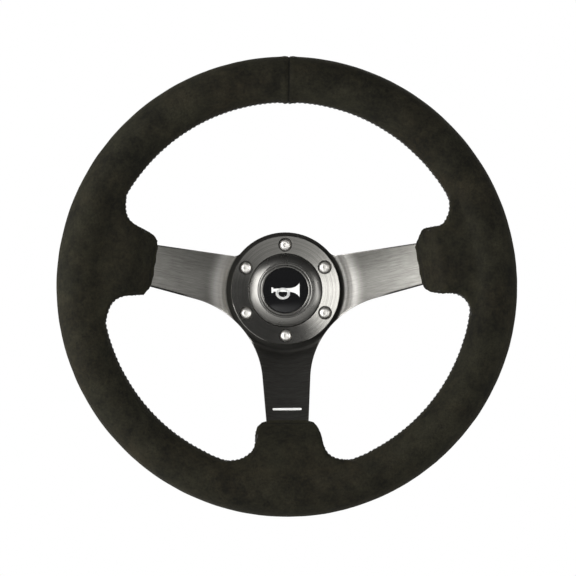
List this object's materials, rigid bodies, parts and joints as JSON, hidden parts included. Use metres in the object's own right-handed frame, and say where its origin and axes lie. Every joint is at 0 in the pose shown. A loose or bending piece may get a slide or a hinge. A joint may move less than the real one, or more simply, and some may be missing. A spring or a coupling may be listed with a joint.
{
  "type": "quick release steering wheel",
  "caption": "Deep-dish suede steering wheel with brushed spokes and a sprung horn button, on a splined ball-lock quick release with a pull collar.",
  "frame": {"origin": "centre of the face that bolts to the steering column's boss", "axes": "+Y along the steering axis towards the column, so the driver looks along +Y; +Z towards twelve o'clock; +X to the driver's right"},
  "size_m": [0.35, 0.143, 0.35],
  "materials": {
    "suede": "matte",
    "thread": "matte",
    "foam": "matte",
    "spoke_plate": "satin",
    "hoop_steel": "satin",
    "ring_black": "satin",
    "stainless": "polished",
    "bezel_metal": "satin",
    "badge_black": "gloss",
    "badge_dome": "gloss",
    "pictogram": "gloss",
    "black_rubber": "matte",
    "black_plastic": "satin",
    "brass": "satin",
    "spring_steel": "satin",
    "ball_steel": "polished",
    "anodised": "satin",
    "collar_anodised": "satin",
    "lead_sheath": "satin"
  },
  "bodies": {
    "base": {"base_hub": "anodised", "base_insulator": "black_plastic", "base_contact": "brass"},
    "wheel": {"coupler_body": "anodised", "collar_spring": "spring_steel", "collar_clip": "spring_steel", "contact_insulator": "black_plastic", "insulator_clip": "spring_steel", "plunger_terminal": "brass", "plunger_spring": "spring_steel", "spoke_frame": "spoke_plate", "rim_ring": "hoop_steel", "spoke_welds": "hoop_steel", "grip_foam": "foam", "suede_cover": "suede", "cover_stitching": "thread", "horn_ring": "ring_black", "ring_screws": "stainless", "button_gasket": "black_rubber", "horn_housing": "black_plastic", "fixed_contact": "brass", "horn_terminals": "brass", "horn_lead": "lead_sheath", "horn_spring": "spring_steel"},
    "collar": {"lock_collar": "collar_anodised"},
    "ball_1": {"lock_ball_1": "ball_steel"},
    "ball_2": {"lock_ball_2": "ball_steel"},
    "ball_3": {"lock_ball_3": "ball_steel"},
    "ball_4": {"lock_ball_4": "ball_steel"},
    "ball_5": {"lock_ball_5": "ball_steel"},
    "ball_6": {"lock_ball_6": "ball_steel"},
    "horn_button": {"horn_bezel": "bezel_metal", "badge_plate": "badge_black", "badge_lens": "badge_dome", "moving_contact": "brass"},
    "plunger": {"contact_plunger": "brass"}
  },
  "joints": [
    {"name": "wheel_release", "type": "slide", "parent": "base", "child": "wheel", "axis": [0, -1, 0], "range_m": [0, 0.06]},
    {"name": "collar_pull", "type": "slide", "parent": "wheel", "child": "collar", "axis": [0, -1, 0], "range_m": [0, 0.006], "stiffness_N_per_m": 1500, "springref_m": -0.004, "deforming": ["collar_spring"]},
    {"name": "ball_1_slide", "type": "slide", "parent": "wheel", "child": "ball_1", "axis": [0, 0, 1], "range_m": [0, 0.00165]},
    {"name": "ball_2_slide", "type": "slide", "parent": "wheel", "child": "ball_2", "axis": [-0.866, 0, 0.5], "range_m": [0, 0.00165]},
    {"name": "ball_3_slide", "type": "slide", "parent": "wheel", "child": "ball_3", "axis": [-0.866, 0, -0.5], "range_m": [0, 0.00165]},
    {"name": "ball_4_slide", "type": "slide", "parent": "wheel", "child": "ball_4", "axis": [0, 0, -1], "range_m": [0, 0.00165]},
    {"name": "ball_5_slide", "type": "slide", "parent": "wheel", "child": "ball_5", "axis": [0.866, 0, -0.5], "range_m": [0, 0.00165]},
    {"name": "ball_6_slide", "type": "slide", "parent": "wheel", "child": "ball_6", "axis": [0.866, 0, 0.5], "range_m": [0, 0.00165]},
    {"name": "horn_press", "type": "slide", "parent": "wheel", "child": "horn_button", "axis": [0, 1, 0], "range_m": [0, 0.0013], "stiffness_N_per_m": 2500, "springref_m": -0.003, "deforming": ["horn_spring"]},
    {"name": "plunger_press", "type": "slide", "parent": "wheel", "child": "plunger", "axis": [0, -1, 0], "range_m": [0, 0.0015], "stiffness_N_per_m": 400, "springref_m": -0.002, "deforming": ["plunger_spring"]}
  ],
  "couplings": [
    {"joint": "ball_1_slide", "follows": "collar_pull", "ratio": 0.275},
    {"joint": "ball_2_slide", "follows": "collar_pull", "ratio": 0.275},
    {"joint": "ball_3_slide", "follows": "collar_pull", "ratio": 0.275},
    {"joint": "ball_4_slide", "follows": "collar_pull", "ratio": 0.275},
    {"joint": "ball_5_slide", "follows": "collar_pull", "ratio": 0.275},
    {"joint": "ball_6_slide", "follows": "collar_pull", "ratio": 0.275}
  ]
}
